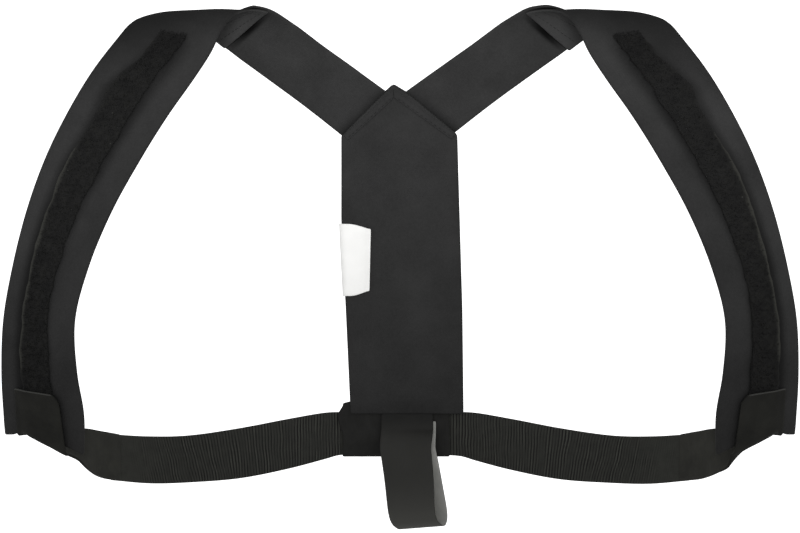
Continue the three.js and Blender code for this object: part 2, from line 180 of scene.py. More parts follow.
def finishSheet(name, cloth, finishes, slotName, node):
    piece = roundOff(finishPiece(name, cloth, finishes))
    dress(piece, slotName, node)


# camera: level, straight in front, at the photo's distance

camera = {"away": 1.5, "height": -0.143, "pixel": 0.000575, "imageWide": 800, "sensor": 36}

lens = bpy.data.cameras.new("camera")
lens.sensor_width = camera["sensor"]
lens.lens = camera["sensor"] * camera["away"] / (camera["pixel"] * camera["imageWide"])
viewer = bpy.data.objects.new("camera", lens)
viewer.location = (0, -camera["away"], camera["height"])
viewer.rotation_euler = (math.pi / 2, 0, 0)
bpy.context.scene.collection.objects.link(viewer)
bpy.context.scene.camera = viewer
print("camera set, lens", round(lens.lens, 1))


# finishes

def toLinear(hexColour):
    parts = [int(hexColour[i:i + 2], 16) / 255 for i in (1, 3, 5)]
    return [c / 12.92 if c <= 0.04045 else ((c + 0.055) / 1.055) ** 2.4 for c in parts] + [1]


def addNode(tree, kind, inputs, result=0, **settings):
    # an input is another node's socket, a colour in hex or a plain value; gives back its result's socket
    node = tree.nodes.new("ShaderNode" + kind)
    for option, value in settings.items():
        setattr(node, option, value)
    for socket, value in inputs.items():
        if isinstance(value, bpy.types.NodeSocket):
            tree.links.new(value, node.inputs[socket])
        else:
            node.inputs[socket].default_value = toLinear(value) if isinstance(value, str) else value
    return node.outputs[result]


def startFinish(name, values):
    finish = bpy.data.materials.new(name)
    finish.use_nodes = True
    for socket, value in values.items():
        finish.node_tree.nodes["Principled BSDF"].inputs[socket].default_value = value
    return finish, finish.node_tree


def endFinish(finish, uneven, tones, covers, height, bump):
    # from the dark tone to the light one by an uneven value, then other colours over it by their own shares
    tree = finish.node_tree
    value, low, high = uneven
    spread = addNode(tree, "MapRange", {"Value": value, "From Min": low, "From Max": high})
    colour = addNode(tree, "Mix", {0: spread, 6: tones[0], 7: tones[1]}, 2, data_type="RGBA")
    for share, cover in covers:
        colour = addNode(tree, "Mix", {0: share, 6: colour, 7: cover}, 2, data_type="RGBA")
    strength, deep = bump
    relief = addNode(tree, "Bump", {"Strength": strength, "Distance": deep * mm, "Height": height})
    shader = tree.nodes["Principled BSDF"]
    tree.links.new(colour, shader.inputs["Base Color"])
    tree.links.new(relief, shader.inputs["Normal"])
    return finish


def knitFinish(name, dark, light):
    # polyester jersey laminated to foam: matt, soft grain, rows of small V loops; painted shade where its
    # pieces sink beside seams or turn out of the light, painted light where they turn toward it
    wale = 1.2 * mm     # loops are about 0.8 mm in the real knit, drawn coarser so that they show
    course = 1.1 * mm
    finish, tree = startFinish(name, {"Roughness": 0.9, "IOR": 1.5, "Specular IOR Level": 0.08})
    cloth = addNode(tree, "UVMap", {}, uv_map="UVMap")
    place = addNode(tree, "TexCoord", {}, "Object")
    paintedShade, paintedLight = [addNode(tree, "Attribute", {}, "Fac", attribute_name=key) for key in ("paintedShade", "paintedLight")]
    across = addNode(tree, "SeparateXYZ", {0: cloth})
    along = across.node.outputs[1]
    # V loops: the distance from the middle of a wale shifts the course
    aside = across
    for operation, value in (("MULTIPLY", 1 / wale), ("FRACT", 0), ("SUBTRACT", 0.5), ("ABSOLUTE", 0)):
        aside = addNode(tree, "Math", {0: aside, 1: value}, operation=operation)
    courses = addNode(tree, "Math", {0: along, 1: 1 / course, 2: aside}, operation="MULTIPLY_ADD")
    turn = addNode(tree, "Math", {0: courses, 1: 2 * math.pi}, operation="MULTIPLY")
    loops = addNode(tree, "Math", {0: turn}, operation="SINE")
    height = addNode(tree, "Math", {0: loops, 1: 0.3, 2: aside}, operation="MULTIPLY_ADD")
    # broad unevenness and fine fibre
    broad, fibre = [
        addNode(tree, "TexNoise", {"Vector": place, "Scale": 1 / size, "Detail": detail, "Roughness": rough})
        for size, detail, rough in ((26 * mm, 3, 0.6), (1.3 * mm, 2, 0.7))]
    blend = addNode(tree, "Math", {0: fibre, 1: 0.55, 2: broad}, operation="MULTIPLY_ADD")
    # painted light toward pale grey, then painted shade toward near black
    depth = addNode(tree, "Math", {0: paintedShade, 1: 1.6}, operation="POWER")
    covers = [(paintedLight, "#525252"), (depth, "#080808")]
    return endFinish(finish, (blend, 0.5, 1.05), (dark, light), covers, height, (0.3, 0.22))


def pileFinish():
    # brushed nylon loop pile: very dark between the loops, clumped on top, a grey selvedge where it is bare,
    # paler partly by its own colour and partly by painted highlight along its lifted edge, and painted shade
    # on its upper part
    finish, tree = startFinish("brushedLoopPile", {
        "Roughness": 0.95, "IOR": 1.5, "Specular IOR Level": 0.08,
        "Sheen Weight": 0.02, "Sheen Roughness": 0.6,
    })
    place = addNode(tree, "TexCoord", {}, "Object")
    bare, shade = [addNode(tree, "Attribute", {}, "Fac", attribute_name=key) for key in ("bare", "shade")]
    clumps, selvedgeBreaks = [
        addNode(tree, "TexNoise", {"Vector": place, "Scale": 1 / size, "Detail": 4, "Roughness": rough})
        for size, rough in ((5 * mm, 0.6), (11 * mm, 0.7))]
    # the bare selvedge: partly its own paler tape, partly a painted highlight where its lifted edge catches
    # the light, broken up at random
    edge = addNode(tree, "Math", {0: selvedgeBreaks, 1: 0.9, 2: bare}, operation="MULTIPLY_ADD")
    selvedge = addNode(tree, "MapRange", {"Value": edge, "From Min": 0.95, "From Max": 1.35},
                       interpolation_type="SMOOTHSTEP")
    # a little lint caught in it: a dot in about one cell of four
    lint = addNode(tree, "TexVoronoi", {"Vector": place, "Scale": 1 / (8 * mm)}, "Distance")
    drawn = addNode(tree, "SeparateColor", {0: lint.node.outputs["Color"]})
    chosen = addNode(tree, "Math", {0: drawn, 1: 0.72}, operation="GREATER_THAN")
    dot = addNode(tree, "MapRange", {"Value": lint, "From Min": 0.07, "From Max": 0.03},
                  interpolation_type="SMOOTHSTEP")
    speck = addNode(tree, "Math", {0: chosen, 1: dot}, operation="MULTIPLY")
    covers = [(selvedge, "#383835"), (speck, "#3c3c39"), (shade, "#080808")]
    return endFinish(finish, (clumps, 0.35, 0.7), ("#1e1e1e", "#252524"), covers, clumps, (0.5, 0.4))


def tapeFinish(name, dark, light, roughness):
    # tightly woven polyester tape: smoother than the knit, fine cross grain; painted highlight along a cut
    # end that catches the light
    finish, tree = startFinish(name, {"Roughness": roughness, "IOR": 1.5, "Specular IOR Level": 0.1})
    cloth = addNode(tree, "UVMap", {}, uv_map="UVMap")
    place = addNode(tree, "TexCoord", {}, "Object")
    cut = addNode(tree, "Attribute", {}, "Fac", attribute_name="cut")
    # picks are 0.5 mm apart in the real tape, drawn at 1 mm so that they show
    picks = addNode(tree, "TexWave", {
        "Vector": cloth, "Scale": 1 / (6.3 * mm), "Distortion": 0.6, "Detail": 1,
    }, 1, bands_direction="Y")
    broad = addNode(tree, "TexNoise", {
        "Vector": place, "Scale": 1 / (14 * mm), "Detail": 4, "Roughness": 0.6,
    })
    # painted highlight where the cut attribute is set
    edge = addNode(tree, "MapRange", {"Value": cut, "From Min": 0.35, "From Max": 0.8},
                   interpolation_type="SMOOTHSTEP")
    return endFinish(finish, (broad, 0.35, 0.7), (dark, light), [(edge, "#484846")], picks, (0.2, 0.12))


def elasticFinish():
    # woven elastic: rubber cords under polyester; painted shade in the grooves and painted light on the
    # crests across the band, which the ribs' relief alone doesn't give
    finish, tree = startFinish("ribbedElastic", {"Roughness": 0.66, "IOR": 1.5, "Specular IOR Level": 0.12})
    cloth = addNode(tree, "UVMap", {}, uv_map="UVMap")
    rib = addNode(tree, "Attribute", {}, "Fac", attribute_name="rib")
    # yarns along the band, 0.7 mm apart
    yarns = addNode(tree, "TexWave", {
        "Vector": cloth, "Scale": 1 / (4.4 * mm), "Distortion": 1.5, "Detail": 2,
    }, 1, bands_direction="X")
    uneven = addNode(tree, "TexNoise", {"Vector": cloth, "Scale": 1 / (5 * mm), "Detail": 3})
    shade = addNode(tree, "Math", {0: uneven, 1: 0.35, 2: rib}, operation="MULTIPLY_ADD")
    return endFinish(finish, (shade, 0.1, 1.25), ("#1d1d1c", "#4a4b46"), [], yarns, (0.2, 0.15))


def satinFinish(name, dark, light, roughness, shine, glow=0):
    # woven satin ribbon: long floats with a soft shine and a faint diagonal rib; painted sheen lightens it
    # where it bends toward the light
    finish, tree = startFinish(name, {
        "Roughness": roughness, "IOR": 1.5, "Specular IOR Level": shine,
        "Emission Color": (1, 1, 1, 1), "Emission Strength": glow,
    })
    cloth = addNode(tree, "UVMap", {}, uv_map="UVMap")
    paintedSheen = addNode(tree, "Attribute", {}, "Fac", attribute_name="paintedSheen")
    floats = addNode(tree, "TexWave", {
        "Vector": cloth, "Scale": 1 / (5 * mm), "Distortion": 0.4, "Detail": 1,
    }, 1, bands_direction="DIAGONAL")
    broad = addNode(tree, "TexNoise", {"Vector": cloth, "Scale": 1 / (9 * mm), "Detail": 3})
    return endFinish(finish, (broad, 0.3, 0.7), (dark, light), [(paintedSheen, "#545450")], floats, (0.15, 0.08))


foamKnit = knitFinish("foamBackedJersey", "#2d2d2d", "#383838")
strapKnit = knitFinish("strapJersey", "#2d2d2d", "#393939")
loopPile = pileFinish()
smoothTape = tapeFinish("smoothTape", "#21211f", "#2a2a27", 0.72)
paleTape = tapeFinish("tapeUnderside", "#32322f", "#3d3d39", 0.75)
sleeveTape = tapeFinish("sleeveTape", "#232322", "#2c2c2b", 0.7)
ribbedElastic = elasticFinish()
whiteSatin = satinFinish("whiteSatinRibbon", "#f6f6f4", "#fdfdfb", 0.5, 0.4, 0.1)   # painted light: a faint glow keeps it as white as a lit label
blackSatin = satinFinish("blackSatinRibbon", "#131312", "#191918", 0.55, 0.2)
greyReverse = satinFinish("greyRibbonReverse", "#a3a39f", "#b4b4b0", 0.65, 0.25)
blackThread = tapeFinish("blackThread", "#1d1d1d", "#292929", 0.55)
print("finishes made")


# the wearer's form that the straps follow: up the back, over the shoulder, down the chest

bodyForm = {
    "line": table(
        "depth height lean before after",
        (60, -275, 0, 0, 45),
        (60, -130, 0, 45, 38),
        (24, -16, 30.5, 39, 15),
        (0, 0, 90, 8, 8),
        (-22, -16, 149.7, 14, 36),
        (-57, -145, 178, 50, 40),
        (-38, -275, 198, 45, 0),
    ),
    "shoulderRow": 3,
    "chestFlat": 100, "chestBend": 0.00248, "chestFrom": 20, "chestFull": 150,
    "shoulderFall": 0.05, "shoulderMid": 100, "neckHalf": 60, "fallRun": 90,
    "fineness": 160,   # points on each stretch of the line
}


def traceForm(form):
    points = []
    for here, there in zip(form["line"], form["line"][1:]):
        leans = [math.radians(row["lean"]) for row in (here, there)]
        ways = [Vector((-math.sin(lean), math.cos(lean))) for lean in leans]
        start, end = [Vector((row["depth"], row["height"])) for row in (here, there)]
        leave = start + ways[0] * here["after"]
        arrive = end - ways[1] * there["before"]
        points += interpolate_bezier(start, leave, arrive, end, form["fineness"])[:-1]
    points.append(end)
    runs = [0]
    for a, b in zip(points, points[1:]):
        runs.append(runs[-1] + (b - a).length)
    top = runs[form["shoulderRow"] * (form["fineness"] - 1)]
    return points, [run - top for run in runs]


formPoints, formRuns = traceForm(bodyForm)


def formPlace(x, run):
    form = bodyForm
    nearest = clamp(bisect.bisect(formRuns, run), 1, len(formRuns) - 1)
    share = (run - formRuns[nearest - 1]) / (formRuns[nearest] - formRuns[nearest - 1])
    depth, height = formPoints[nearest - 1].lerp(formPoints[nearest], clamp(share))
    reach = abs(x)
    bend = form["chestBend"] * max(0, reach - form["chestFlat"]) ** 2
    bend *= easeStep(run, form["chestFrom"], form["chestFull"])
    onTop = fadeOut(abs(run), 0, form["fallRun"])
    fall = form["shoulderFall"] * (max(reach, form["neckHalf"]) - form["shoulderMid"]) * onTop
    return Vector((x, depth + bend, height - fall))


def outOfForm(x, run):
    step = 0.5
    upRun = formPlace(x, run + step) - formPlace(x, run - step)
    upX = formPlace(x + step, run) - formPlace(x - step, run)
    return upRun.cross(upX).normalized()


def onForm(x, run, lift):
    return formPlace(x, run) + outOfForm(x, run) * lift


# padded pieces are plumped by a cloth simulation: sewn points stay, the cloth between them swells

plumping = {"frames": 20, "pressure": 4, "quality": 5, "tension": 15, "bending": 0.5, "mass": 0.15}


def sewnPoints(cloth, plan, sewnWithin=None):
    # both long edges and both ends, and what is sewn down between them
    low, high = plan["sewnEnds"]
    found = []
    for vert in cloth.verts:
        across, along, outer = onBlank(cloth, vert)
        atEdge = min(across, 1 - across) < 0.01 or along < low or along > high
        if atEdge or (sewnWithin and sewnWithin(across, along, outer)):
            found.append(vert.index)
    return found


def plumpUp(piece, sewn, cap):
    start = [vert.co.copy() for vert in piece.data.vertices]
    group = piece.vertex_groups.new(name="sewn")
    group.add(sewn, 1, "REPLACE")
    swell = piece.modifiers.new("swell", "CLOTH")
    cloth = swell.settings
    cloth.quality = plumping["quality"]
    cloth.mass = plumping["mass"]
    cloth.tension_stiffness = cloth.compression_stiffness = plumping["tension"]
    cloth.shear_stiffness = plumping["tension"] / 2
    cloth.bending_stiffness = plumping["bending"]
    cloth.use_pressure = True
    cloth.uniform_pressure_force = plumping["pressure"]
    cloth.vertex_group_mass = group.name
    cloth.effector_weights.gravity = 0
    swell.point_cache.frame_start = 1
    swell.point_cache.frame_end = plumping["frames"]
    for count in range(1, plumping["frames"] + 1):
        bpy.context.scene.frame_set(count)
    swollen = piece.evaluated_get(bpy.context.evaluated_depsgraph_get()).to_mesh()
    shifts = [vert.co - before for vert, before in zip(swollen.vertices, start)]
    piece.modifiers.remove(swell)
    piece.vertex_groups.remove(group)
    for vert, before, shift in zip(piece.data.vertices, start, shifts):
        vert.co = before + shift / (1 + shift.length / (cap * mm))   # eases off toward the cap
    bpy.context.scene.frame_set(1)
    furthest = max(shift.length for shift in shifts)
    print(piece.name, "plumped, furthest", round(furthest / mm, 2), "mm, eased to a cap of", cap)


# front straps: wide foam straps down the chest, sewn flat at both ends

frontStrap = {
    "rows": table(
        "outerReach outerRun innerReach innerRun",
        (102, -31, 76, -8),
        (119, -15, 85.5, 0),
        (136, -1, 95, 10),
        (150.2, 9.5, 102, 22),
        (159.8, 25, 107, 35),
        (172.2, 46, 116, 52),
        (186.2, 74, 130, 75),
        (199.5, 103, 146, 103),
        (210, 132, 161.5, 132),
        (217.8, 162, 174, 162),
        (223.5, 192, 182, 192),
        (225, 222, 181, 222),
        (224.5, 240, 177.5, 244),
        (223.5, 254, 178, 265),
    ),
    # run of the lower end, evenly spaced across the strap
    "hem": [258, 257.6, 252.5, 254.4, 257.2, 259.8, 262.8, 265.4, 268.3],
    "hemFrom": 0.86, "swellFrom": 0.09, "swellFull": 0.2,
    "edge": 2.6, "loft": 5.4, "sewnTop": 1.5, "sewnFoot": 3, "crown": 4, "grow": 0.018,
    "valley": 1.6, "valleyFrom": 0.9, "valleyTo": 1.7, "valleyEnd": 0.055,
    # its sewn end stands off the back strap at the middle and rises to it at the inner corner
    "farther": {"right": (0, 0), "left": (-3.4, -1.5)}, "fartherShare": 0.1,
    "endLift": 0.9, "endLiftShare": 0.05, "endRise": (1.5, 3.5), "endRiseShare": 0.34,
    "flat": (50, 290), "across": 24, "along": 104, "cap": 1.6, "sewnEnds": (0.1, 0.87), "sewnBeside": 1.05,
    # painted shade beside the loop strip: its strength at the strip's top and foot, and how many millimetres
    # it reaches at the top, the middle and the foot
    "outerPaintedShade": {"top": 0.62, "foot": 0.78, "near": (0.3, 1.5), "reach": (10, 6, 9)},
    "innerPaintedShade": {"top": 0.7, "foot": 0.25, "near": (0, 0), "reach": (16, 9, 6)},
    # and painted shade where it turns up over the shoulder, out of the light, farther down on the outer side
    "topPaintedShade": 0.82, "topRuns": {"outer": (0, 110), "inner": (-2, 42)}, "overall": 0.16,
    # painted light: the underside of its sewn end and its outer edge are painted paler, as they turn toward
    # the light
    "paintedLight": 0.26, "paintedLightOver": (0.06, 0.16),
    "outerEdge": 0.16, "outerEdgeWide": (0.08, 0.3),
    "outerEdgeIn": (0.55, 0.63), "outerEdgeOut": (0.68, 0.79),
}
fastenerStrip = {
    "half": 0.2, "topMid": 0.48, "footMid": 0.43,   # shares of the front strap's width
    "top": 10 / 36, "foot": 34 / 36,                # shares of its length
    "thick": 1, "gap": 0.3, "edgeLift": 1.3, "edgeShare": 0.16, "liftIn": (0.2, 0.48), "liftOut": (0.9, 1),
    "bare": 5.5, "bareIn": (0.2, 0.42), "bareOut": (0.78, 0.95), "topShade": 0.42,
    "wander": 0.065, "wanderParts": [(1, 1), (0.6, 3.4), (0.5, 9)],   # strength and fineness
    "topWiden": 0.1, "topWidenOver": (0, 0.14), "footWiden": 0.13, "footWidenOver": (0.62, 0.8),
    "inset": 0.19, "insetOver": (0.28, 0.8), "topInset": 0.3, "topInsetOver": (0.09, 0.22),
    "dent": 0.12, "dentAt": 0.3, "dentOver": (0.02, 0.1),
    "flat": (20, 196), "across": 14, "along": 110,
}

strapOuterEdge = edgeRoute(frontStrap, "outer")
strapInnerEdge = edgeRoute(frontStrap, "inner")
strapHem = smoothRoute([Vector((i, run)) for i, run in enumerate(frontStrap["hem"])])


def strapPlace(across, along):
    reach, run = strapOuterEdge(along).lerp(strapInnerEdge(along), across)
    foot = frontStrap["rows"][-1]
    straight = mix(foot["outerRun"], foot["innerRun"], across)
    run += (strapHem(across).y - straight) * easeStep(along, frontStrap["hemFrom"], 1)
    return reach, run


def stripMiddle(along):
    return mix(fastenerStrip["topMid"], fastenerStrip["footMid"], along)


def strapThickness(across, along):
    strap = frontStrap
    crown = 1 - abs(2 * across - 1) ** strap["crown"]
    ends = easeStep(along, strap["swellFrom"], strap["swellFull"]) * fadeOut(along, strap["hemFrom"], 1)
    end = mix(strap["sewnTop"], strap["sewnFoot"], easeStep(along, 0.3, 0.7))
    sewn = mix(end, strap["edge"], easeStep(ends, 0, 0.5))
    aside = abs(across - stripMiddle(along)) / fastenerStrip["half"]
    beside = fadeOut(aside, strap["valleyFrom"], strap["valleyTo"])
    lengthwise = easeStep(along, fastenerStrip["top"] - strap["valleyEnd"], fastenerStrip["top"])
    return sewn + ((strap["loft"] - strap["edge"]) * crown - strap["valley"] * beside * lengthwise) * ends


def stripInset(along):
    # the strip's outer edge draws in toward its foot, and in one place near its top
    strip = fastenerStrip
    dent = strip["dent"] * fadeOut(abs(along - strip["dentAt"]), *strip["dentOver"])
    dent += strip["topInset"] * fadeOut(along, *strip["topInsetOver"])
    return dent + strip["inset"] * easeStep(along, *strip["insetOver"])


def besideStrip(across, along):
    # painted shade: the knit is darkened as it sinks beside the sewn loop strip, where it turns up over the
    # shoulder out of the light, and a little all over
    wide = frontStrap["flat"][0]
    onStrip = (along - fastenerStrip["top"]) / (fastenerStrip["foot"] - fastenerStrip["top"])
    aside = (across - stripMiddle(along)) * wide
    paintedShade = frontStrap["innerPaintedShade"] if aside > 0 else frontStrap["outerPaintedShade"]
    half = fastenerStrip["half"] * wide
    beyond = abs(aside) - half + (0 if aside > 0 else 2 * half * stripInset(onStrip))
    lengthwise = easeStep(onStrip, -0.08, 0.08)
    down = easeStep(onStrip, 0.3, 0.7)
    top, middle, foot = paintedShade["reach"]
    reach = mix(mix(top, middle, easeStep(onStrip, 0, 0.4)), foot, down)
    fade = easeStep(beyond, mix(*paintedShade["near"], down), reach)
    byStrip = mix(paintedShade["top"], paintedShade["foot"], down) * (1 - fade) * lengthwise
    runs = frontStrap["topRuns"]
    low, high = [mix(a, b, across) for a, b in zip(runs["outer"], runs["inner"])]
    onTop = frontStrap["topPaintedShade"] * fadeOut(strapPlace(across, along)[1], low, high)
    return max(onTop, byStrip, frontStrap["overall"])


def endPlace(name, across, along):
    # on one side the sewn end reaches a little farther down the back strap
    reach, run = strapPlace(across, along)
    left = fadeOut(along, 0, frontStrap["fartherShare"])
    moreReach, moreRun = frontStrap["farther"][name]
    return reach + moreReach * left, run + moreRun * left


def endStandOff(across, along):
    strap = frontStrap
    bowed = strap["endLift"] * (1 - (2 * across - 1) ** 2) * fadeOut(along, 0, strap["endLiftShare"])
    rise = mix(*strap["endRise"], easeStep(across, 0.2, 1))
    return bowed - rise * fadeOut(along, 0, strap["endRiseShare"])


# painted light on the sewn end's underside and along the outer edge
def paintedLightParts(across, along, outer):
    strap = frontStrap
    sewnEnd = strap["paintedLight"] * fadeOut(along, *strap["paintedLightOver"])
    edge = strap["outerEdge"] * fadeOut(across, *strap["outerEdgeWide"])
    edge *= easeStep(along, *strap["outerEdgeIn"]) * fadeOut(along, *strap["outerEdgeOut"])
    return mix(sewnEnd, edge, outer)


def makeFrontStrap(name):
    side = sides[name]
    strap = frontStrap

    def place(across, along, through):
        reach, run = endPlace(name, mix(-strap["grow"], 1 + strap["grow"], across), along)
        lift = through * strapThickness(across, along) - endStandOff(across, along)
        return onForm(side * reach, run, lift)

    def underStrip(across, along, outer):
        aside = abs(across - stripMiddle(along)) / fastenerStrip["half"]
        return aside < strap["sewnBeside"] and along > fastenerStrip["top"] and outer > 0.5

    cloth = bentCloth(strap, place)
    # painted shade on the outer face beside the loop strip and over the shoulder
    paint(cloth, "paintedShade", lambda across, along, outer: besideStrip(across, along) * outer)
    paint(cloth, "paintedLight", paintedLightParts)
    sewn = sewnPoints(cloth, strap, underStrip)
    piece = finishPiece("frontStrap_" + name, cloth, [foamKnit])
    plumpUp(piece, sewn, strap["cap"])
    roundOff(piece)
    dress(piece, "foam_knit", "front_strap_" + name)


# loop strip: woven tape with a bare lifted selvedge on the outer side and brushed pile on the rest

pile = {
    "tiles": 20, "fibres": 430, "fringe": 60, "topFringe": 60,
    "wide": 20, "tileLong": 9.8, "bareEdge": 2.3,
    "tall": 1.2, "root": 0.11, "tip": 0.03, "seed": 4,
    "clump": 5, "fineClump": 1.7, "clumpTall": 0.55, "sway": 0.45, "swayOver": 2.3, "rooted": 0.15,
    # how far fibres turn and tilt, and their shares of the height
    "bodyTurn": (0, 2 * math.pi), "bodyTilt": (0.1, 0.9), "bodyTall": (0.6, 1.25),
    "fringeTurn": (-0.7, 0.7), "fringeTilt": (0.7, 1.35), "fringeTall": (0.5, 1.2),
    "topTurn": (-2.3, -0.8), "topTilt": (0.6, 1.3), "topTall": (0.7, 1.9),
}


def stripLift(across, along):
    strip = fastenerStrip
    edge = fadeOut(across, 0, strip["edgeShare"])
    stretch = easeStep(along, *strip["liftIn"]) * fadeOut(along, *strip["liftOut"])
    return strip["edgeLift"] * edge * stretch


def stripPlace(side, across, along, lift):
    strip = fastenerStrip
    # both edges wander, more in some places than in others
    edge = 1 if across > 0.5 else -1
    spot = Vector((along * 22, side * 5 + edge, 0))
    uneven = sum(strength * noise.noise(spot * finer) for strength, finer in strip["wanderParts"])
    widened = strip["footWiden"] * easeStep(along, *strip["footWidenOver"])
    widened += strip["topWiden"] * fadeOut(along, *strip["topWidenOver"])
    drawnIn = mix(stripInset(along), widened, across)
    lift += stripLift(across, along)
    across += drawnIn + strip["wander"] * uneven * abs(2 * across - 1) ** 3
    onStrap = mix(strip["top"], strip["foot"], along)
    share = stripMiddle(onStrap) + mix(-strip["half"], strip["half"], across)
    reach, run = strapPlace(share, onStrap)
    base = strapThickness(clamp(share), onStrap) + strip["gap"]
    return onForm(side * reach, run, base + lift)


def stripShade(along):
    # its upper part leans back out of the light
    return fastenerStrip["topShade"] * (1 - 0.6 * easeStep(along, 0, 0.3) - 0.4 * easeStep(along, 0.3, 0.6))


def makeLoopStrip(name):
    side = sides[name]
    strip = fastenerStrip

    def place(across, along, through):
        return stripPlace(side, across, along, through * strip["thick"])

    def bareEdge(across, along, outer):
        near = max(0, 1 - across * strip["flat"][0] / strip["bare"])
        return near * easeStep(along, *strip["bareIn"]) * fadeOut(along, *strip["bareOut"])

    cloth = bentCloth(strip, place)
    paint(cloth, "bare", bareEdge)
    paint(cloth, "shade", lambda across, along, outer: stripShade(along))
    return roundOff(finishPiece("loopStrip_" + name, cloth, [loopPile]))


def makePile(name):
    side = sides[name]
    chance = random.Random(pile["seed"] + side)
    carpet = bmesh.new()

    def addFibre(x, y, kind, turned=0):
        turn, tilt, tall = [chance.uniform(*pile[kind + key]) for key in ("Turn", "Tilt", "Tall")]
        tall *= pile["tall"]
        lean = Matrix.Rotation(turn + turned, 4, "Z") @ Matrix.Rotation(tilt, 4, "Y")
        stand = Matrix.Translation((x, y, 0)) @ lean @ Matrix.Translation((0, 0, tall / 2))
        bmesh.ops.create_cone(carpet, segments=3, radius1=pile["root"], radius2=pile["tip"], depth=tall,
                              cap_ends=False, matrix=stand)

    for count in range(pile["fibres"]):
        addFibre(chance.uniform(pile["bareEdge"], pile["wide"]), chance.uniform(0, pile["tileLong"]), "body")
    # a fringe that leans out over both edges
    for count in range(pile["fringe"]):
        inner = count % 3 > 0
        x = pile["wide"] - chance.uniform(0, 0.5) if inner else pile["bareEdge"]
        addFibre(x, chance.uniform(0, pile["tileLong"]), "fringe", 0 if inner else math.pi)
    tile = carpet.verts[:] + carpet.edges[:] + carpet.faces[:]
    for count in range(1, pile["tiles"]):
        copied = bmesh.ops.duplicate(carpet, geom=tile)["geom"]
        verts = [part for part in copied if isinstance(part, bmesh.types.BMVert)]
        bmesh.ops.translate(carpet, verts=verts, vec=(0, count * pile["tileLong"], 0))
    for count in range(pile["topFringe"]):
        addFibre(chance.uniform(1, pile["wide"]), chance.uniform(-0.6, 0.6), "top")
    length = pile["tiles"] * pile["tileLong"]
    shade = carpet.verts.layers.float.new("shade")
    for vert in carpet.verts:
        clump = noise.noise(vert.co / pile["clump"]) + 0.6 * noise.noise(vert.co / pile["fineClump"])
        tall = max(0.05, vert.co.z * (1 + pile["clumpTall"] * clump))
        sway = noise.noise_vector(vert.co / pile["swayOver"]) * pile["sway"] * vert.co.z
        across = (vert.co.x + sway.x) / pile["wide"]
        along = (vert.co.y + sway.y) / length
        vert[shade] = stripShade(along)
        vert.co = stripPlace(side, across, along, fastenerStrip["thick"] - pile["rooted"] + tall) * mm
    return dress(finishPiece("loopPile_" + name, carpet, [loopPile]), "loop_pile")


for name in sides:
    makeFrontStrap(name)
    strip = makeLoopStrip(name)
    fuzz = makePile(name)
    dress(strip, "loop_pile", "loop_strip_" + name)
print("front straps and loop strips made")


# hook tabs: the smooth end of each band, wrapped up round the strap's foot onto the pile

hookTab = {
    "outerTop": 0.19, "outerFoot": 0.17, "innerTop": 0.8, "innerFoot": 0.825,   # across the front strap
    "topRun": 230, "topSlant": 3.3, "corner": 4.4, "cornerShare": 0.2, "cornerPower": 2.4, "topAlong": 0.89,
    "frontShare": 0.34, "foldShare": 0.2, "bowShare": 0.3, "thick": 1.7, "cutWide": 1.6, "onPile": 0.2,
    "sag": {"right": 0, "left": 3.5}, "outerDrop": 1.9, "dropOver": 0.3,
    "cutFade": (0.74, 0.96), "edgePale": 0.42, "edgePaleOver": 0.36,
    "upper": [(200, -9, -237.5), (181.5, -4, -235.8), (172.5, 5, -237.8), (163, 18.3, -240.6)],
    "lower": [(181.5, -24.5, -252.5), (178, -17, -258), (172.5, 2, -264.6), (162.5, 18.3, -268)],
    "sagShare": [1.1, 0.7, 0.25, 0],
    "flat": (29, 92), "across": 20, "along": 72,
}


def tabSurface(name):
    side = sides[name]
    tab = hookTab
    onStrip = fastenerStrip["thick"] + tab["onPile"] + 2 * fastenerStrip["gap"] + tab["thick"] / 2

    def clearAt(share):
        # its outer edge lies past the strip, down on the knit
        return onStrip - tab["outerDrop"] * fadeOut(share, 0, tab["dropOver"])

    def roundFoot(share, turn):
        onStrap = mix(tab["outerFoot"], tab["innerFoot"], share)
        reach, run = strapPlace(onStrap, 1)
        middle = strapThickness(onStrap, 1) / 2
        radius = middle + clearAt(share)
        return onForm(side * reach, run + radius * math.sin(turn), middle + radius * math.cos(turn))

    def upFront(share, down):
        corner = max(0, share - 1 + tab["cornerShare"]) / tab["cornerShare"]
        top = tab["topRun"] + tab["topSlant"] * share + tab["corner"] * corner ** tab["cornerPower"]
        onStrap = mix(mix(tab["outerTop"], tab["outerFoot"], down),
                      mix(tab["innerTop"], tab["innerFoot"], down), share)
        footReach, footRun = strapPlace(onStrap, 1)
        reach = mix(strapPlace(onStrap, tab["topAlong"])[0], footReach, down)
        pad = mix(strapThickness(onStrap, tab["topAlong"]), strapThickness(onStrap, 1), down)
        return onForm(side * reach, mix(top, footRun, down), pad + clearAt(share))

    corners = [roundFoot(0, math.pi / 2), roundFoot(1, math.pi / 2)]
    upper, lower = [[corner] for corner in corners]
    for high, low, share in zip(tab["upper"], tab["lower"], tab["sagShare"]):
        sag = tab["sag"][name] * share
        upper.append(Vector((side * high[0], high[1], high[2])))
        lower.append(Vector((side * (low[0] + sag), low[1], low[2] - sag)))
    upper = smoothRoute(upper)
    lower = smoothRoute(lower)
    foldEnd = tab["frontShare"] + tab["foldShare"]

    def surface(across, along):
        if along < tab["frontShare"]:
            return upFront(across, along / tab["frontShare"])
        if along < foldEnd:
            return roundFoot(across, (along - tab["frontShare"]) / tab["foldShare"] * math.pi / 2)
        tail = (along - foldEnd) / (1 - foldEnd)
        bow = roundFoot(across, math.pi / 2) - corners[0].lerp(corners[1], across)
        return upper(tail).lerp(lower(tail), across) + bow * fadeOut(tail, 0, tab["bowShare"])

    return surface


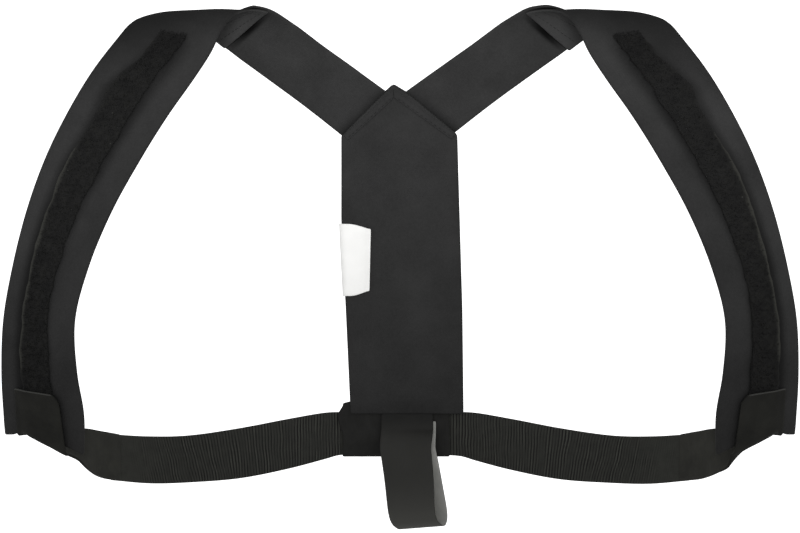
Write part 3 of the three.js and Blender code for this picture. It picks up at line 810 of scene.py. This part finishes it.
def makeHookTab(name):
    tab = hookTab
    free = tab["cutWide"] / tab["flat"][1]

    def paleEdges(across, along, outer):
        # painted highlight on its cut end, and a little painted light where its outer edge turns round the
        # strap
        cutEnd = (1 - along / free) * fadeOut(across, *tab["cutFade"])
        return max(cutEnd, tab["edgePale"] * fadeOut(across, 0, tab["edgePaleOver"]))

    cloth = bentCloth(tab, squareTo(tabSurface(name), tab["thick"]))
    paint(cloth, "cut", paleEdges)
    secondFinish(cloth, 1 if name == "right" else 0)   # its underside shows behind the strap's foot
    finishSheet("hookTab_" + name, cloth, [smoothTape, paleTape],
                "smooth_tape", "hook_tab_" + name)


# elastic bands: fine uneven ribs across them

elasticBand = {
    "rows": table(
        "upperReach lowerReach depth upper lower",
        (169, 168, 15.8, -240.2, -267.2),
        (148.5, 146, 36, -242.8, -270.8),
        (126.5, 123, 49, -243.2, -271.1),
        (96.5, 95, 58.5, -239.5, -269.3),
        (66, 66, 64, -234, -263.8),
        (45, 45, 66.5, -230.6, -258.4),
        (36.5, 36.5, 67, -230.2, -256.2),
        (21.5, 21.5, 67, -230, -255.8),
    ),
    "thick": 1.5, "ribs": 92, "ribTall": 0.3, "stepsPerRib": 5, "strength": (0.35, 1.85), "wander": 0.4,
    "lean": 2.2, "leanOver": (0.3, 0.85), "patch": 0.75, "patchVaries": 1.1, "patchLimits": (0.15, 1.1),
    "ribTone": 0.3, "smoothTone": 0.45, "ribsIn": (0.04, 0.34), "ribsVary": 0.08,
    "sag": {"right": 0.4, "left": 1.2}, "sagShare": [0.3, 0.3, 0.4, 0.8, 1, 1, 0.8, 0.4],
    "flat": (28, 172), "across": 10, "seed": 11,
}


def evenShare(route, count):
    # shares of a route at equal distances along it
    fine = 600
    lengths = [0]
    for i in range(fine):
        lengths.append(lengths[-1] + (route((i + 1) / fine) - route(i / fine)).length)
    found = []
    for i in range(count + 1):
        wanted = lengths[-1] * i / count
        nearest = clamp(bisect.bisect(lengths, wanted), 1, fine)
        within = (wanted - lengths[nearest - 1]) / (lengths[nearest] - lengths[nearest - 1])
        found.append((nearest - 1 + within) / fine)
    return found


def makeElasticBand(name):
    side = sides[name]
    band = elasticBand
    sags = [band["sag"][name] * share for share in band["sagShare"]]
    upper = smoothRoute([Vector((side * row["upperReach"], row["depth"], row["upper"]))
                         for row in band["rows"]])
    lower = smoothRoute([Vector((side * row["lowerReach"], row["depth"], row["lower"] - sag))
                         for row, sag in zip(band["rows"], sags)])
    steps = band["ribs"] * band["stepsPerRib"]
    even = evenShare(lambda share: upper(share).lerp(lower(share), 0.5), steps)
    chance = random.Random(band["seed"] + side)
    strength = [chance.uniform(*band["strength"]) for count in range(band["ribs"] + 1)]

    def ribAt(across, along):
        # each rib has its own strength, wanders, leans outward near the tab and fades in patches
        lean = band["lean"] * (across - 0.5) * fadeOut(along, *band["leanOver"])
        wander = band["wander"] * noise.noise(Vector((across * 3, along * 14, side)))
        place = along * band["ribs"] - lean + wander
        turn = 2 * math.pi * place
        crest = -0.5 * math.cos(turn) - 0.2 * math.cos(2 * turn)   # narrow grooves
        varied = band["patchVaries"] * noise.noise(Vector((across * 2.4, along * 34, side * 4)))
        patch = clamp(band["patch"] + varied, *band["patchLimits"])
        return crest * strength[clamp(int(place), 0, band["ribs"])] * patch

    def ribsIn(across, along):
        # smooth beside the tab, ribbed farther in
        varied = band["ribsVary"] * noise.noise(Vector((across * 3, along * 20, side)))
        return easeStep(along + varied, *band["ribsIn"])

    def middle(across, step):
        share = even[clamp(step, 0, steps)]
        return upper(share).lerp(lower(share), across)

    def place(across, along, through):
        step = round(along * steps)
        ahead = middle(across, step + 1) - middle(across, step - 1)
        out = (middle(1, step) - middle(0, step)).cross(ahead).normalized()
        swell = band["ribTall"] * ribAt(across, along) * ribsIn(across, along) * (1 if through > 0.5 else -1)
        return middle(across, step) + out * ((through - 0.5) * band["thick"] + swell)

    cloth = bentCloth({**band, "along": steps}, place)
    # painted shade in the rib grooves and painted light on their crests, an even tone where the band is
    # smooth
    paint(cloth, "rib", lambda across, along, outer:
          mix(band["smoothTone"], band["ribTone"] + ribAt(across, along), ribsIn(across, along)))
    finishSheet("elasticBand_" + name, cloth, [ribbedElastic],
                "ribbed_elastic", "elastic_band_" + name)


for name in sides:
    makeHookTab(name)
    makeElasticBand(name)
print("hook tabs and elastic bands made")


# back panel: foam between two faces of knit, pointed top, pressed thin at the hem

backPanel = {
    "rows": table(
        "run right left",
        (-55.5, -4.6, -3),
        (-61.5, -11.5, 7),
        (-82.5, -32, 31.8),
        (-85.5, -35, 34.2),
        (-136, -35.3, 35.9),
        (-190, -32.6, 37.5),
        (-252.5, -29.7, 38.2),
    ),
    "edge": 4.4, "loft": 6.2, "hem": 3, "hemTaper": 20, "hemPress": 2.1, "pressTaper": 14,
    "flat": (70, 197), "across": 34, "along": 96, "gableShare": 0.26, "gableRow": 3,
    "cap": 1.2, "sewnEnds": (0.06, 0.93),
    "footPaintedShade": 0.36, "footReach": 16,   # painted shade where it sinks toward the sleeve under its hem
}
# the folded edge along each slant of the pointed top
gableHem = {
    "wide": 4.6, "thick": 0.8, "gap": 0.25, "sunk": 1.2, "sunkOver": 0.35,
    "flat": (4.6, 42), "across": 4, "along": 24,
    "top": {"right": (-4, -56.2), "left": (-3.6, -56.2)},
    "foot": {"right": (-34, -84.6), "left": (33.4, -83.6)},
}


def panelEdges(run):
    rows = backPanel["rows"]
    for above, below in zip(rows, rows[1:]):
        if run >= below["run"]:
            break
    share = clamp((run - above["run"]) / (below["run"] - above["run"]))
    return mix(above["right"], below["right"], share), mix(above["left"], below["left"], share)


def panelRun(along):
    # the pointed top gets its own share of the rows
    rows = backPanel["rows"]
    gable = backPanel["gableShare"]
    top, corner, foot = [rows[i]["run"] for i in (0, backPanel["gableRow"], -1)]
    if along < gable:
        return mix(top, corner, along / gable)
    return mix(corner, foot, (along - gable) / (1 - gable))


def makeBackPanel():
    panel = backPanel
    hemRun = panel["rows"][-1]["run"]

    def place(across, along, through):
        run = panelRun(along)
        right, left = panelEdges(run)
        full = mix(panel["edge"], panel["loft"], 1 - (2 * across - 1) ** 2)
        thickness = mix(panel["hem"], full, easeStep(run - hemRun, 0, panel["hemTaper"]))
        pressed = panel["hemPress"] * fadeOut(run - hemRun, 0, panel["pressTaper"])
        return onForm(mix(right, left, across), run, mix(pressed, thickness, through))

    cloth = bentCloth(panel, place)
    # painted shade on its body side toward the hem
    paint(cloth, "paintedShade", lambda across, along, outer:
          panel["footPaintedShade"] * fadeOut(panelRun(along) - hemRun, 0, panel["footReach"]) * (1 - outer))
    sewn = sewnPoints(cloth, panel)
    piece = finishPiece("backPanel", cloth, [foamKnit])
    plumpUp(piece, sewn, panel["cap"])
    roundOff(piece)
    dress(piece, "foam_knit", "back_panel")


def hemLine(name):
    # its two ends and the way inward from it
    top, foot = [Vector(gableHem[end][name]) for end in ("top", "foot")]
    way = (foot - top).normalized()
    return top, foot, Vector((way.y, -way.x)) * sides[name]


def hemPlace(name, across, along):
    top, foot, inward = hemLine(name)
    x, run = top.lerp(foot, along) + inward * across * gableHem["wide"]
    # the two hems meet in a mitre under the point
    return min(top.x, x) if name == "right" else max(top.x, x), run


def makeGableHem(name):
    hem = gableHem

    def place(across, along, through):
        x, run = hemPlace(name, across, along)
        edge = easeStep(across, 0, hem["sunkOver"])
        return onForm(x, run, mix(hem["sunk"], -hem["gap"], edge) - through * hem["thick"])

    piece = roundOff(finishPiece("gableHem_" + name, bentCloth(hem, place), [foamKnit]))
    dress(piece, "foam_knit", "back_panel")


makeBackPanel()
for name in sides:
    makeGableHem(name)
print("back panel made")


# back straps: flat knit from the panel's pointed top over the shoulder

backStrap = {
    "rows": table(
        "upperReach upperRun lowerReach lowerRun",
        (1.2, -65, 26.4, -92.5),
        (32, -41.8, 59, -66),
        (66.5, -16, 93.5, -39.8),
        (84, -1.5, 113.5, -22.5),
    ),
    "rise": {"right": (0.4, 0.4), "left": (3.9, 2.8)},   # at the panel and at the shoulder
    "inPanel": 1.5, "onPad": 5.2, "liftFrom": 0.3, "liftFull": 0.85,
    "thick": 2.3, "endThick": 1.6, "thinOver": (0.6, 0.95), "grow": 0.012,
    "ripple": 0.5, "rippleIn": (0.12, 0.3), "rippleOut": (0.6, 0.8),
    "flat": (37, 130), "across": 18, "along": 64,
    # painted shadow where it slips behind the front strap's sewn end, and painted shade beside the panel's
    # slanted edge
    "lens": (3.2, 1, 2.6), "lensPower": 0.6, "gablePaintedShade": (0.78, 7.5),
}
backStrapUpper = edgeRoute(backStrap, "upper")
backStrapLower = edgeRoute(backStrap, "lower")


def backStrapPlace(name, across, along):
    strap = backStrap
    wide = mix(-strap["grow"], 1 + strap["grow"], across)
    reach, run = backStrapUpper(along).lerp(backStrapLower(along), wide)
    lift = mix(strap["inPanel"], strap["onPad"], easeStep(along, strap["liftFrom"], strap["liftFull"]))
    return reach, run + mix(*strap["rise"][name], along), lift


def behindSeam(name, reach, run):
    # painted shade: the strap is darkened in a lens of painted shadow where it slips behind the front
    # strap's sewn end, and beside the panel's slanted edge
    inner = Vector(endPlace(name, 1, 0))
    way = Vector(endPlace(name, 0, 0)) - inner
    offset = Vector((reach, run)) - inner
    share = clamp(offset.dot(way) / way.length_squared)
    gap = max(0, math.sin(math.pi * share)) ** backStrap["lensPower"]
    beyond = (offset.x * way.y - offset.y * way.x) / way.length
    hidden, narrow, wider = backStrap["lens"]
    lens = gap * fadeOut(beyond, hidden, hidden + narrow + wider * gap)
    strength, width = backStrap["gablePaintedShade"]
    top, foot, inward = hemLine(name)
    outside = -(Vector((sides[name] * reach, run)) - top).dot(inward)
    return max(lens, strength * clamp(1 - outside / width))


def makeBackStrap(name):
    strap = backStrap

    def place(across, along, through):
        reach, run, lift = backStrapPlace(name, across, along)
        ripple = strap["ripple"] * noise.noise(Vector((across * 1.5, along * 5, sides[name] * 3)))
        ripple *= easeStep(along, *strap["rippleIn"]) * fadeOut(along, *strap["rippleOut"])
        thickness = mix(strap["thick"], strap["endThick"], easeStep(along, *strap["thinOver"]))
        return onForm(sides[name] * reach, run, lift + ripple + through * thickness)

    cloth = bentCloth(strap, place)
    paint(cloth, "paintedShade", lambda across, along, outer:
          behindSeam(name, *backStrapPlace(name, across, along)[:2]) * (1 - outer))
    finishSheet("backStrap_" + name, cloth, [strapKnit],
                "strap_knit", "back_strap_" + name)


for name in sides:
    makeBackStrap(name)
print("back straps made")


# sleeve: a flattened tube of tape across the panel's foot, gathered a little at its right end

panelSleeve = {
    "right": -37.3, "left": 29.7, "top": -223.2, "bottom": -257.3, "front": 64.6, "back": 69.4,
    "wall": 1, "slant": 1.8, "slantWidth": 7, "flat": (73, 67), "across": 64, "along": 44,
    "pucker": 1, "puckerWide": 4.5, "puckerTall": 16, "puckerOver": (0.12, 0.55),
    "lowerIn": 2.8, "lowerFrom": 9, "lowerFull": -4, "cornerIn": 3, "cornerFrom": 10, "cornerFull": 16.5,
}


def makePanelSleeve():
    sleeve = panelSleeve
    half = (sleeve["back"] - sleeve["front"]) / 2
    tall = (sleeve["top"] - sleeve["bottom"]) / 2 - half
    arc = math.pi * half
    middle = Vector((0, (sleeve["front"] + sleeve["back"]) / 2, (sleeve["top"] + sleeve["bottom"]) / 2))

    def outline(share, radius):
        # once round a flat ring, from the bottom of its front wall
        walked = share * (4 * tall + 2 * arc)
        if walked < 2 * tall:
            return Vector((-radius, walked - tall))
        if walked < 2 * tall + arc:
            turn = math.pi - (walked - 2 * tall) / half
            return Vector((math.cos(turn) * radius, tall + math.sin(turn) * radius))
        if walked < 4 * tall + arc:
            return Vector((radius, 3 * tall + arc - walked))
        turn = (4 * tall + arc - walked) / half
        return Vector((math.cos(turn) * radius, math.sin(turn) * radius - tall))

    def place(across, along, through):
        depth, height = outline(across % 1, half - (1 - through) * sleeve["wall"])
        x = mix(sleeve["right"], sleeve["left"], along)
        drop = 0
        if height > 0:
            drop = sleeve["slant"] * max(0, 1 - (x - sleeve["right"]) / sleeve["slantWidth"])
        fold = 0
        if depth < 0:
            spot = Vector((x / sleeve["puckerWide"], height / sleeve["puckerTall"], 2))
            fold = sleeve["pucker"] * max(0, noise.noise(spot)) * fadeOut(along, *sleeve["puckerOver"])
        # its right end is drawn in below, and its upper corner cut off
        drawnIn = sleeve["lowerIn"] * fadeOut(height, sleeve["lowerFull"], sleeve["lowerFrom"])
        drawnIn += sleeve["cornerIn"] * easeStep(height, sleeve["cornerFrom"], sleeve["cornerFull"])
        return middle + Vector((x + drawnIn * (1 - along), depth - fold, height - drop))

    finishSheet("panelSleeve", bentCloth(sleeve, place, closed=True), [sleeveTape],
                "smooth_tape", "panel_sleeve")


makePanelSleeve()
print("sleeve made")


# labels: a white one folded out of the side seam, a black one hung as a loop from the hem

careLabel = {
    "topRun": -138.5, "footRun": -182, "topWidth": 17.8, "footWidth": 14.8, "taper": 3, "flatShare": 0.5,
    "curl": 2.6, "thick": 0.5, "clear": 0.9,
    "rows": table(
        "share above curl outside",
        (0, -3.4, 0, 1),
        (-0.01, -0.6, 0, 1),
        (0.035, 0.3, 0, 0),
        (0.4, 0.5, 0, 0),
        (0.75, 0, 0.45, 0),
        (1, 0, 1, 0),
    ),
    "flat": (20, 43.5), "across": 28, "along": 16,
}


def makeCareLabel():
    label = careLabel

    def surface(across, along):
        seamRun = mix(label["topRun"], label["footRun"], along)
        seam = panelEdges(seamRun)[0]
        width = mix(label["topWidth"], label["footWidth"], along)
        route = smoothRoute([Vector((
            seam + width * row["share"] - label["clear"] * row["outside"],
            -row["above"] - label["curl"] * row["curl"] - label["clear"] * (1 - row["outside"]),
        )) for row in label["rows"]])
        x, lift = route(across)
        drawnIn = label["taper"] * (2 * along - 1) * easeStep(across, label["flatShare"], 1)
        return onForm(x, seamRun + drawnIn, lift)

    cloth = bentCloth(label, squareTo(surface, label["thick"]))
    finishSheet("careLabel", cloth, [whiteSatin],
                "white_satin", "care_label")


loopLabel = {
    "middle": 4.3, "width": 31.4, "drift": 11.8, "driftFrom": -251, "twist": 31, "twistFrom": -241,
    "lowest": -299, "forward": 4, "roll": 0.12, "stepOut": 1.8, "stepOver": (0.4, 0.62), "twistPower": 0.6,
    "paintedSheen": [(0.3, 0.08, 0.24), (0.38, 0.28, 0.46)],   # how much, and the stretch over which it grows
    "rows": [
        (64, -229.5), (63.6, -233), (59, -246), (54, -268), (49.5, -288), (50, -295.2),
        (55, -298.2), (60, -293.4), (62, -272), (62.9, -254), (64, -235.5),
    ],
    "thick": 0.5, "flat": (32, 132), "across": 16, "along": 96,
}


def loopLabelSurface():
    label = loopLabel
    route = smoothRoute([Vector((0, depth, height)) for depth, height in label["rows"]])
    pivot = label["rows"][0][0]

    def fallen(height, start):
        return clamp((height - start) / (label["lowest"] - start))

    def surface(across, along):
        place = route(along)
        down = fallen(place.z, label["driftFrom"])
        turn = math.radians(label["twist"]) * fallen(place.z, label["twistFrom"]) ** label["twistPower"]
        wide = (across - 0.5) * label["width"]
        out = place.y - pivot
        # the rear half lies a little to one side, the turned edge stays clear of the sleeve
        aside = label["middle"] + label["drift"] * down
        aside += label["stepOut"] * easeStep(along, *label["stepOver"])
        forward = min(label["forward"], label["width"] / 2 * math.sin(turn))
        return Vector((
            aside + wide * math.cos(turn) + out * math.sin(turn),
            pivot + out * math.cos(turn) - wide * math.sin(turn) - forward,
            place.z + wide * label["roll"] * down,
        ))

    return surface


def makeLoopLabel():
    label = loopLabel
    cloth = bentCloth(label, squareTo(loopLabelSurface(), label["thick"]))
    # painted sheen on the black outside, growing toward the foot of the loop where it bends toward the light
    paint(cloth, "paintedSheen", lambda across, along, outer:
          sum(much * easeStep(along, low, high) for much, low, high in label["paintedSheen"]) * (1 - outer))
    secondFinish(cloth, 1)   # woven black outside, grey on its reverse
    finishSheet("loopLabel", cloth, [blackSatin, greyReverse],
                "black_satin", "loop_label")


makeCareLabel()
makeLoopLabel()
print("labels made")


# stitching: rows of short threads where the pieces are sewn together

thread = {
    "long": 2.2, "gap": 0.9, "thick": 0.36, "proud": 0.05,
    "hemRow": 38, "hemAcross": 0.72, "hemSpan": (0.1, 0.97),
    "endRow": 34, "endRows": (0.022, 0.05), "endSpan": (0.06, 0.94),   # on the front strap's sewn end
}


def sewRow(threads, path, length):
    # path(share) gives a place on the cloth and the way out of it
    count = max(2, round(length / (thread["long"] + thread["gap"])))
    for i in range(count):
        middle, out = path((i + 0.5) / count)
        way = (path((i + 0.8) / count)[0] - path((i + 0.2) / count)[0]).normalized()
        side = out.cross(way).normalized()
        turn = Matrix((way, side, way.cross(side))).transposed().to_4x4()
        size = Matrix.Diagonal((thread["long"] / 2, thread["thick"] / 2, thread["thick"] / 2, 1))
        bmesh.ops.create_icosphere(threads, subdivisions=1, radius=1,
                                   matrix=Matrix.Translation(middle) @ turn @ size)


def sewStrap(name):
    threads = bmesh.new()

    def bodySide(x, run, lift):
        out = -outOfForm(x, run)
        return formPlace(x, run) + out * lift, out

    def onHem(share):
        x, run = hemPlace(name, thread["hemAcross"], mix(*thread["hemSpan"], share))
        return bodySide(x, run, gableHem["gap"] + gableHem["thick"])

    def onFlap(along):
        def path(share):
            across = mix(*thread["endSpan"], share)
            reach, run = endPlace(name, across, along)
            return bodySide(sides[name] * reach, run, endStandOff(across, along) + thread["proud"])
        return path

    sewRow(threads, onHem, thread["hemRow"])
    for along in thread["endRows"]:
        sewRow(threads, onFlap(along), thread["endRow"])
    bmesh.ops.scale(threads, vec=(mm, mm, mm), verts=threads.verts)
    bmesh.ops.recalc_face_normals(threads, faces=threads.faces)
    dress(finishPiece("strapStitching_" + name, threads, [blackThread]), "foam_knit")


for name in sides:
    sewStrap(name)
print("stitching made")


# studio: pale floor well below, white backdrop behind, softboxes in front and behind

studio = {
    "floor": -0.7, "floorSize": 8, "backdrop": (0, 3.7, 0.5), "backdropSize": 9, "ambient": 0.57,
    # the front one's narrow beam falls on the upper half
    "front": {"place": (0, -1.6, 0.02), "turn": 90, "size": (1.4, 0.12), "spread": 21.2, "watts": 0.95},
    "back": {"place": (0, 1.6, 0.1), "turn": -90, "size": (1.4, 0.8), "spread": 120, "watts": 3},
}


def makeStudio():
    white = startFinish("studioWhite", {"Base Color": (0.85, 0.85, 0.85, 1), "Roughness": 0.9})[0]
    glow = startFinish("studioBackdrop", {
        "Base Color": (0.8, 0.8, 0.8, 1), "Roughness": 0.9,
        "Emission Color": (1, 1, 1, 1), "Emission Strength": 1,
    })[0]
    ground = Matrix.Translation((0, 0, studio["floor"]))
    upright = Matrix.Translation(studio["backdrop"]) @ Matrix.Rotation(math.pi / 2, 4, "X")
    for name, finish, size, place in (("floor", white, studio["floorSize"], ground),
                                      ("backdrop", glow, studio["backdropSize"], upright)):
        sheet = bmesh.new()
        bmesh.ops.create_grid(sheet, x_segments=2, y_segments=2, size=size / 2, matrix=place)
        stage = finishPiece(name, sheet, [finish])
        stage.visible_diffuse = stage.visible_glossy = name == "floor"
    for name in ("front", "back"):
        box = studio[name]
        lamp = bpy.data.lights.new("softbox_" + name, "AREA")
        lamp.shape = "RECTANGLE"
        lamp.size, lamp.size_y = box["size"]
        lamp.spread = math.radians(box["spread"])
        lamp.energy = box["watts"]
        stand = bpy.data.objects.new("softbox_" + name, lamp)
        stand.location = box["place"]
        stand.rotation_euler = (math.radians(box["turn"]), 0, 0)
        stand.visible_camera = False
        bpy.context.scene.collection.objects.link(stand)
    world = bpy.data.worlds.new("studioAir")
    world.use_nodes = True
    air = world.node_tree.nodes["Background"]
    air.inputs["Color"].default_value = (1, 1, 1, 1)
    air.inputs["Strength"].default_value = studio["ambient"]
    bpy.context.scene.world = world
    bpy.context.scene.view_settings.view_transform = "Standard"


makeStudio()
print("studio made")
